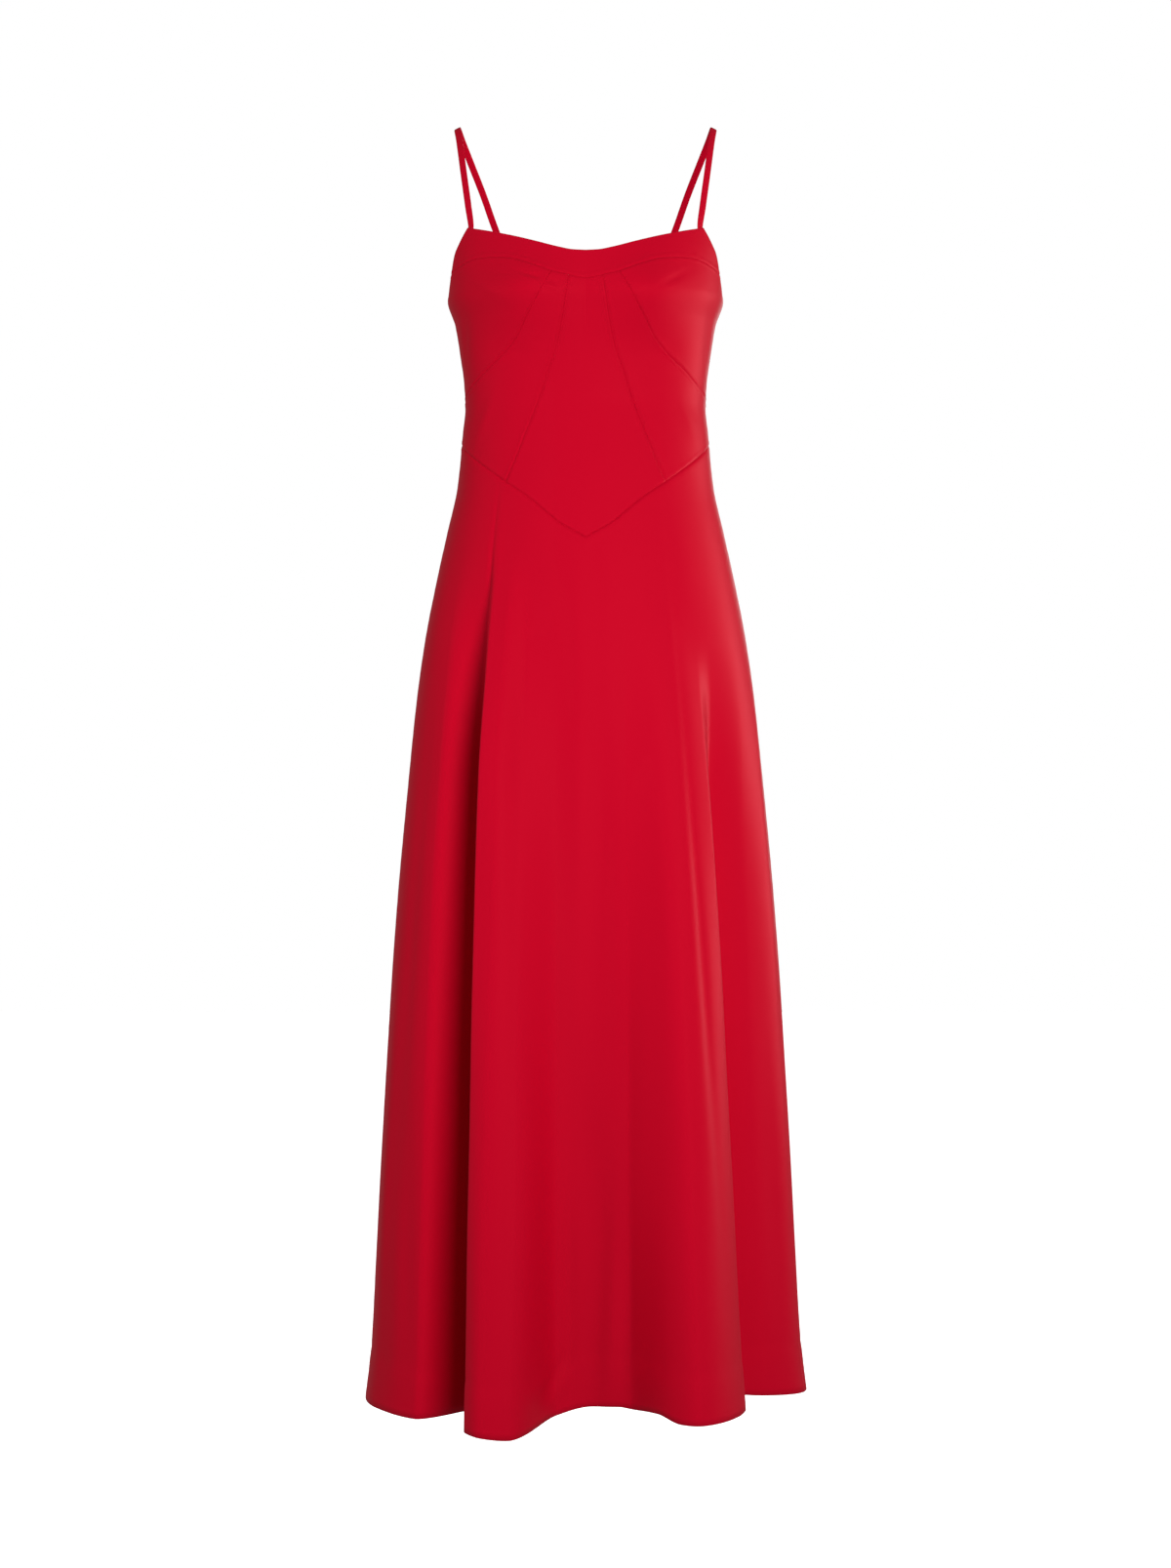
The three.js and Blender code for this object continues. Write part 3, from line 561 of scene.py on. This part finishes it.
def shell(outer, inner):
    """Points and faces of a closed thin shell between two grids, with a rounded rim."""
    ni, nj = outer.shape[:2]
    index = np.arange(ni * nj).reshape(ni, nj)
    a, b = index[:-1, :-1], index[1:, :-1]
    c, d = index[1:, 1:], index[:-1, 1:]
    front = np.stack([a, d, c, b], -1).reshape(-1, 4)
    back = np.stack([a, b, c, d], -1).reshape(-1, 4) + ni * nj
    loop = np.concatenate([index[:, 0], index[-1, 1:], index[-2::-1, -1], index[0, -2:0:-1]])
    edge = outer.reshape(-1, 3)[loop]
    beside = np.concatenate([outer[:, 1], outer[-2, 1:], outer[-2::-1, -2], outer[1, -2:0:-1]])
    rim = 0.5 * (edge + inner.reshape(-1, 3)[loop]) - RIM_ROUND * unit(beside - edge)
    middle = np.arange(len(loop)) + 2 * ni * nj
    after = np.roll(np.arange(len(loop)), -1)
    sides = np.concatenate([
        np.stack([loop, loop[after], middle[after], middle], -1),
        np.stack([middle, middle[after], loop[after] + ni * nj, loop + ni * nj], -1)])
    points = np.concatenate([outer.reshape(-1, 3), inner.reshape(-1, 3), rim])
    return points, np.concatenate([front, back, sides])


def cloth_size(outer, at, z, is_skirt):
    """Width and length of the rectangle a panel is cut from, and its area, in metres."""
    a = outer[1:, 1:] - outer[:-1, :-1]
    b = outer[1:, :-1] - outer[:-1, 1:]
    area = 0.5 * np.linalg.norm(np.cross(a, b), axis=-1).sum()
    if is_skirt:
        wide = np.linalg.norm(np.diff(outer, axis=0), axis=-1).sum(0).max()
    else:
        span = np.linspace(at.min(), at.max(), CUT_SAMPLES)
        wide = run_length(ring(span, np.full_like(span, BODICE_CUT_Z)))[-1]
    long = z.max() - z.min()
    return wide * METRES_PER_MM, long * METRES_PER_MM, area * METRES_PER_MM ** 2


panels = {}
cut_sizes = {}


def cloth(node, surface, grid, sewn, loose=0.0, hem=False):
    """Satin panel: rolls into its seams, with creases and a slight unevenness."""
    at, z = grid[..., 0], grid[..., 1]
    points = surface(at, z)
    far = edge_distances(points)
    normal = outward_of(points)
    lift = crease_lift(at, z) + loose * uneven(at, z)
    for side in sewn:
        lift = lift * smooth(far[side] / SEAM["calm"])
    # The edge on the waist seam, where the panel has one
    waist = "top" if hem else "bottom" if z.min() < FOLD_REGION_TOP else None
    for side in sewn:
        lift = lift + seam_lift(far, side, SEAM["waist_dip" if side == waist else "dip"])
    if hem:
        lift = lift + hem_lift(far)
    outer = points + normal * lift[..., None]
    draw_back(outer, sewn)
    satin_piece(node, *shell(outer, outer - normal * thickness(far, sewn, hem)[..., None]))
    cut_sizes[node] = cloth_size(outer, at, z, hem)
    panels[node] = (outer, far, normal)


# Materials
def add_grain(material, grain):
    """Fine unevenness that the light picks out of a cloth."""
    nodes, links = material.node_tree.nodes, material.node_tree.links
    scale, strength, distance = grain
    noise = nodes.new("ShaderNodeTexNoise")
    noise.inputs["Scale"].default_value = scale
    noise.inputs["Detail"].default_value = GRAIN_DETAIL
    place = nodes.new("ShaderNodeTexCoord")
    links.new(place.outputs["Object"], noise.inputs["Vector"])
    lift = nodes.new("ShaderNodeBump")
    lift.inputs["Strength"].default_value = strength
    lift.inputs["Distance"].default_value = distance
    links.new(noise.outputs["Fac"], lift.inputs["Height"])
    links.new(lift.outputs["Normal"], nodes["Principled BSDF"].inputs["Normal"])


def principled(name, color, rough, metal=0.0, sheen=0.0, grain=None, gloss=0.5, glow=0.0):
    """Material with constant settings, and a grain where it is cloth."""
    material = bpy.data.materials.new(name)
    material.use_nodes = True
    shader = material.node_tree.nodes["Principled BSDF"]
    shader.inputs["Base Color"].default_value = color
    shader.inputs["Roughness"].default_value = rough
    shader.inputs["Metallic"].default_value = metal
    shader.inputs["Specular IOR Level"].default_value = gloss
    shader.inputs["Emission Color"].default_value = WHITE
    shader.inputs["Emission Strength"].default_value = glow
    if sheen:
        shader.inputs["Sheen Weight"].default_value = sheen
        shader.inputs["Sheen Roughness"].default_value = SHEEN_ROUGHNESS
        shader.inputs["Sheen Tint"].default_value = SHEEN_TINT
    if grain:
        add_grain(material, grain)
    return material


satin = principled("satin", SATIN, rough=0.5, metal=0.10, sheen=0.10, grain=SATIN_GRAIN, gloss=0.10)
tape = principled("zip_tape", TAPE, rough=0.85, grain=TAPE_GRAIN, gloss=0.2)
metal = principled("zip_metal", METAL, rough=0.3, metal=0.7)

# Bodice
ALL_SIDES = ("top", "bottom", "left", "right")
INNER_SEAM_FOOT = INNER_SEAM[-1][0]
band_cup = seam(BAND_SEAM_CUP, CUP_TOP_STEPS)
band_side = seam(BAND_SEAM_SIDE_FRONT, BAND_SIDE_STEPS)
band_half = joined(seam(BAND_SEAM_CENTRE, BAND_CENTRE_STEPS), band_side, band_cup)
neck_half = seam(NECK_EDGE, len(band_half) - 1)
arm_upper = seam(ARMHOLE_UPPER, ARMHOLE_STEPS)
arm_lower = seam(ARMHOLE_LOWER, CUP_SEAM_STEPS)
cup_seam = seam(CUP_SEAM, CUP_SEAM_STEPS)
inner_seam = seam(INNER_SEAM, INNER_STEPS)
side_upper = seam(SIDE_UPPER, CUP_TOP_STEPS)
side_lower = seam(SIDE_LOWER, INNER_STEPS)
centre_top = seam(BAND_SEAM_CENTRE, CENTRE_STEPS)
waist_centre = waist_seam(0, INNER_SEAM_FOOT, CENTRE_STEPS)
waist_side = waist_seam(INNER_SEAM_FOOT, 90, BAND_SIDE_STEPS + CUP_SEAM_STEPS)

band_grid = patch(both_sides(neck_half), both_sides(band_half), arm_upper * (-1, 1), arm_upper)
centre_grid = patch(both_sides(centre_top), both_sides(waist_centre),
                    inner_seam * (-1, 1), inner_seam)
cup_grid = patch(band_cup, side_upper, cup_seam, arm_lower)
side_grid = patch(joined(band_side, cup_seam), waist_side, inner_seam, side_lower)

cloth("neck_band", ring, band_grid, ("bottom",))
cloth("centre_front", ring, centre_grid, ALL_SIDES)
cloth("cup_left", ring, cup_grid, ("top", "left", "bottom"))
cloth("cup_right", ring, mirror(cup_grid), ("top", "right", "bottom"))
cloth("side_front_left", ring, side_grid, ALL_SIDES)
cloth("side_front_right", ring, mirror(side_grid), ALL_SIDES)


# Back of the bodice
def back_panel_grid():
    """Grid of the left back panel, which parts from the right one just above the zip."""
    top = table(BACK_EDGE)
    across, down = BACK_STEPS
    deg = np.linspace(90, 180, across + 1)[:, None]
    z = top(deg) + (waist_at(deg) - top(deg)) * np.linspace(0, 1, down + 1)[None]
    mouth = BACK_MOUTH["half"] * (1 - smooth((top(180) - z) / BACK_MOUTH["deep"]))
    part = np.degrees(mouth / back_at(z)) * ((deg - 90) / 90) ** BACK_MOUTH["nearness"]
    return np.stack([deg - part, z], -1)


back_grid = back_panel_grid()
cloth("back_left", ring, back_grid, ("bottom", "left", "right"))
cloth("back_right", ring, mirror(back_grid), ("bottom", "left", "right"))


# Skirt
def skirt_columns(start, end, count):
    """Fold positions across a panel, closer together where the cloth bends."""
    at = np.linspace(start, end, FINE_STEPS + 1)
    points = skirt(at, np.full_like(at, HEM_Z))
    step = np.diff(points, axis=0)
    way = unit(step)
    bend = np.arccos(np.clip((way[1:] * way[:-1]).sum(-1), -1, 1))
    cost = np.linalg.norm(step, axis=1) + BEND_WEIGHT * np.concatenate([bend, bend[-1:]])
    far = np.concatenate([[0], np.cumsum(cost)])
    return np.interp(np.linspace(0, far[-1], count + 1), far, at)


def skirt_grid(columns):
    """Grid from the waist seam down to the hem edge."""
    waist_z = np.full_like(columns, SIDE_LOWER[-1][1])
    for _ in range(WAIST_ROUNDS):
        waist_z = 0.5 * (waist_z + waist_at(np.abs(body_angle(columns, waist_z))))
    down = np.linspace(0, 1, SKIRT_ROWS + 1) ** ROW_CROWDING
    heights = waist_z[:, None] + (hem_at(columns) - waist_z)[:, None] * down[None]
    return np.stack([np.repeat(columns[:, None], SKIRT_ROWS + 1, 1), heights], -1)


def skirt_panel(node, columns):
    """Skirt panel, which hangs free below its seams."""
    cloth(node, skirt, skirt_grid(columns), ("top", "left", "right"), SKIRT_UNEVEN, hem=True)


skirt_panel("skirt_front", joined(skirt_columns(-90, 0, SKIRT_FOLDED_STEPS),
                                  skirt_columns(0, 90, SKIRT_QUARTER_STEPS)))
skirt_panel("skirt_back_left", skirt_columns(90, 180, SKIRT_QUARTER_STEPS))
skirt_panel("skirt_back_right", skirt_columns(-180, -90, SKIRT_QUARTER_STEPS))


# Straps
def spline(points, shares):
    """Centripetal curve through points, at shares of its number of spans."""
    p = np.concatenate([[2 * points[0] - points[1]], points, [2 * points[-1] - points[-2]]])
    at = np.clip(shares, 0, 1) * (len(points) - 1)
    i = np.minimum(at.astype(int), len(points) - 2)
    f = (at - i)[:, None]
    p0, p1, p2, p3 = (p[i + k] for k in range(4))
    d0, d1, d2 = (np.sqrt(np.maximum(np.linalg.norm(b - a, axis=1), TINY))[:, None]
                  for a, b in ((p0, p1), (p1, p2), (p2, p3)))
    t1 = ((p1 - p0) / d0 - (p2 - p0) / (d0 + d1) + (p2 - p1) / d1) * d1
    t2 = ((p2 - p1) / d1 - (p3 - p1) / (d1 + d2) + (p3 - p2) / d2) * d1
    return (p1 * (2 * f ** 3 - 3 * f ** 2 + 1) + p2 * (3 * f ** 2 - 2 * f ** 3)
            + t1 * (f ** 3 - 2 * f ** 2 + f) + t2 * (f ** 3 - f ** 2))


def sewn_end(rows):
    """Points of a strap end flat on the inside of the bodice, and the outward directions."""
    deg, z = np.array(rows, float).T
    out = ring_outward(deg, z)
    return ring(deg, z) - out * (WALL + SEWN_GAP + STRAP_THICKNESS / 2), out


def strap_line():
    """Even points along the left strap, its direction, and the way its flat side faces."""
    front, front_out = sewn_end(STRAP_FRONT_END)
    back, back_out = sewn_end(STRAP_BACK_END)
    middle = np.array(STRAP_PATH, float)
    points = np.concatenate([front, middle, back])
    outs = np.concatenate([front_out, unit(middle - STRAP_AIM), back_out])
    shares = np.linspace(0, 1, FINE_STEPS + 1)
    far = run_length(spline(points, shares))
    even = np.interp(np.linspace(0, far[-1], STRAP_STEPS + 1), far, shares)
    path, out = spline(points, even), spline(outs, even)
    along = unit(np.gradient(path, axis=0))
    return path, along, unit(out - along * (out * along).sum(-1, keepdims=True))


def squared(v, power):
    """Sine or cosine flattened towards a box."""
    return np.sign(v) * np.abs(v) ** power


def tube_faces(n, k):
    """Faces of a closed tube of n rings with k points each."""
    index = np.arange(n * k).reshape(n, k)
    a, b = index[:-1], index[1:]
    wall = np.stack([a, np.roll(a, -1, 1), np.roll(b, -1, 1), b], -1).reshape(-1, 4)
    caps = []
    for end, order in ((index[0], 1), (index[-1], -1)):
        for j in range(1, k // 2):
            caps.append([end[j - 1], end[k - j], end[k - j - 1], end[j]][::order])
    return np.concatenate([wall, np.array(caps)])


def strap(node, side):
    """Strap with flat faces and rounded edges; side is 1 on the wearer's left, else -1."""
    path, along, out = strap_line()
    across = np.cross(along, out)
    turn = np.linspace(0, 2 * np.pi, STRAP_SIDES + 1)[:-1]
    wide = squared(np.cos(turn), STRAP_FACE_POWER)[:, None] * STRAP_WIDTH / 2
    deep = squared(np.sin(turn), STRAP_EDGE_POWER)[:, None] * STRAP_THICKNESS / 2
    tube = path[:, None] + across[:, None] * wide + out[:, None] * deep
    faces = tube_faces(*tube.shape[:2])
    satin_piece(node, (tube * (side, 1, 1)).reshape(-1, 3), faces[:, ::-side])


strap("strap_left", 1)
strap("strap_right", -1)


# Rows of small stitches beside the bodice seams
def stitch_row(node, side):
    """Starts, ends and outward directions of the stitches beside a panel's left or right."""
    order = -1 if side == "right" else 1
    outer, far, normal = panels[node]
    outer, away, normal = outer[::order], far[side][::order], normal[::order]
    columns = range(outer.shape[1])
    line = np.array([sample(STITCH["inset"], away[:, k], outer[:, k]) for k in columns])
    facing = np.array([sample(STITCH["inset"], away[:, k], normal[:, k]) for k in columns])
    walk = run_length(line)
    starts = np.arange(STITCH["first"], walk[-1] - STITCH["last"], STITCH["pitch"])
    ends = starts + STITCH["length"]
    return sample(starts, walk, line), sample(ends, walk, line), unit(sample(starts, walk, facing))


def stitch_points(start, end, out, aside):
    """Rings of points around one stitch, thinner where it enters the cloth."""
    points = []
    for share, lift, thinner in STITCH_RINGS:
        middle = start * (1 - share) + end * share
        radius = STITCH["radius"] * thinner
        for k in range(STITCH_SIDES):
            turn = 2 * math.pi * k / STITCH_SIDES
            up = lift + radius * math.sin(turn)
            points.append(middle + out * up + aside * radius * math.cos(turn))
    return points


def stitch_faces():
    """Faces of one stitch, counted from its first point."""
    n = STITCH_SIDES
    last = n * (len(STITCH_RINGS) - 1)
    faces = []
    for low in range(0, last, n):
        for k in range(n):
            after = (k + 1) % n
            faces.append([low + k, low + after, low + n + after, low + n + k])
    for end, order in ((0, -1), (last, 1)):
        faces.append([end, end + 1, end + 2, end + 3][::order])
        faces.append([end, end + 3, end + 4, end + 5][::order])
    return np.array(faces)


def stitches(name, rows):
    """All the stitches as one piece."""
    points, faces = [], []
    one_stitch = stitch_faces()
    for starts, ends, outs in rows:
        asides = np.cross(unit(ends - starts), outs)
        for start, end, out, aside in zip(starts, ends, outs, asides):
            faces.append(one_stitch + len(points))
            points += stitch_points(start, end, out, aside)
    obj = mesh_object(name, np.array(points), np.concatenate(faces), satin)
    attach(obj, "dress")


stitches("seam_stitching", [
    stitch_row("side_front_left", "left"), stitch_row("side_front_right", "right"),
    stitch_row("centre_front", "left"), stitch_row("centre_front", "right"),
    stitch_row("cup_left", "left"), stitch_row("cup_right", "right"),
])

# Zip teeth on the inside of the tape
BOX_FACES = [(0, 3, 2, 1), (4, 5, 6, 7), (0, 1, 5, 4), (1, 2, 6, 5), (2, 3, 7, 6), (3, 0, 4, 7)]
BOX_CORNERS = [(-0.5, -0.5), (0.5, -0.5), (0.5, 0.5), (-0.5, 0.5)]


def zip_teeth(name):
    """Row of teeth down the zip, as boxes."""
    points, faces = [], []
    for n, z in enumerate(np.arange(ZIP_TOP_Z, ZIP_END_Z, -TOOTH["pitch"])):
        cloth_y = float(ring(np.array(180.0), np.array(z))[1])
        tape_y = cloth_y - WALL - SEWN_GAP - TAPE_THICKNESS - TOOTH["clear"]
        shift = TOOTH["shift"] if n % 2 else -TOOTH["shift"]
        faces += [[len(points) + k for k in face] for face in BOX_FACES]
        for y in (tape_y, tape_y - TOOTH["deep"]):
            points += [(shift + dx * TOOTH["across"], y, z + dz * TOOTH["high"])
                       for dx, dz in BOX_CORNERS]
    obj = mesh_object(name, np.array(points), np.array(faces), tape, smooth_faces=False)
    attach(obj, "dress")


zip_teeth("zip_teeth")

# Looks of the solids that stay as they are
for name, material in (("zip_tape", tape), ("zip_slider", metal), ("zip_pull", metal)):
    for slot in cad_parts[name].material_slots:
        slot.link = "OBJECT"
        slot.material = material

# Cut sizes of the cloth: width, length and area in metres
for node, (wide, long, area) in cut_sizes.items():
    print("cut", node, [round(float(v), 3) for v in (wide, long, area)])


# Floor, light and world
def add_floor(half, near, far, z):
    """White floor that the camera sees, and that lights nothing else."""
    data = bpy.data.meshes.new("floor")
    corners = [(-half, near, z), (half, near, z), (half, far, z), (-half, far, z)]
    data.from_pydata(corners, [], [(0, 1, 2, 3)])
    floor = bpy.data.objects.new("floor", data)
    bpy.context.collection.objects.link(floor)
    data.materials.append(principled("floor", FLOOR, rough=0.9, gloss=0.0, glow=1.0))
    floor.visible_diffuse = False
    floor.visible_glossy = False


def add_light(name, place, aim, size, power, spread, in_shine):
    """Rectangular light that points from its place to its aim."""
    data = bpy.data.lights.new(name, "AREA")
    data.spread = math.radians(spread)
    data.shape = "RECTANGLE"
    data.size, data.size_y = size
    data.energy = power
    light = bpy.data.objects.new(name, data)
    bpy.context.collection.objects.link(light)
    x, y, z = np.array(aim) - np.array(place)
    pitch = math.pi / 2 + math.atan2(z, math.hypot(x, y))
    light.location = place
    light.rotation_euler = (pitch, 0, math.atan2(y, x) - math.pi / 2)
    light.visible_glossy = in_shine


def add_world():
    """Soft light from all round, with a white backdrop that only the camera sees."""
    world = bpy.data.worlds.new("studio")
    bpy.context.scene.world = world
    world.use_nodes = True
    nodes, links = world.node_tree.nodes, world.node_tree.links
    surround = nodes["Background"]
    backdrop = nodes.new("ShaderNodeBackground")
    for shader, strength in ((surround, WORLD_LIGHT), (backdrop, BACKDROP_LIGHT)):
        shader.inputs["Color"].default_value = WHITE
        shader.inputs["Strength"].default_value = strength
    ray = nodes.new("ShaderNodeLightPath")
    mix = nodes.new("ShaderNodeMixShader")
    links.new(ray.outputs["Is Camera Ray"], mix.inputs["Fac"])
    links.new(surround.outputs["Background"], mix.inputs[1])
    links.new(backdrop.outputs["Background"], mix.inputs[2])
    links.new(mix.outputs["Shader"], nodes["World Output"].inputs["Surface"])


add_floor(**FLOOR_BOX)
for settings in LIGHTS:
    add_light(*settings)
add_world()
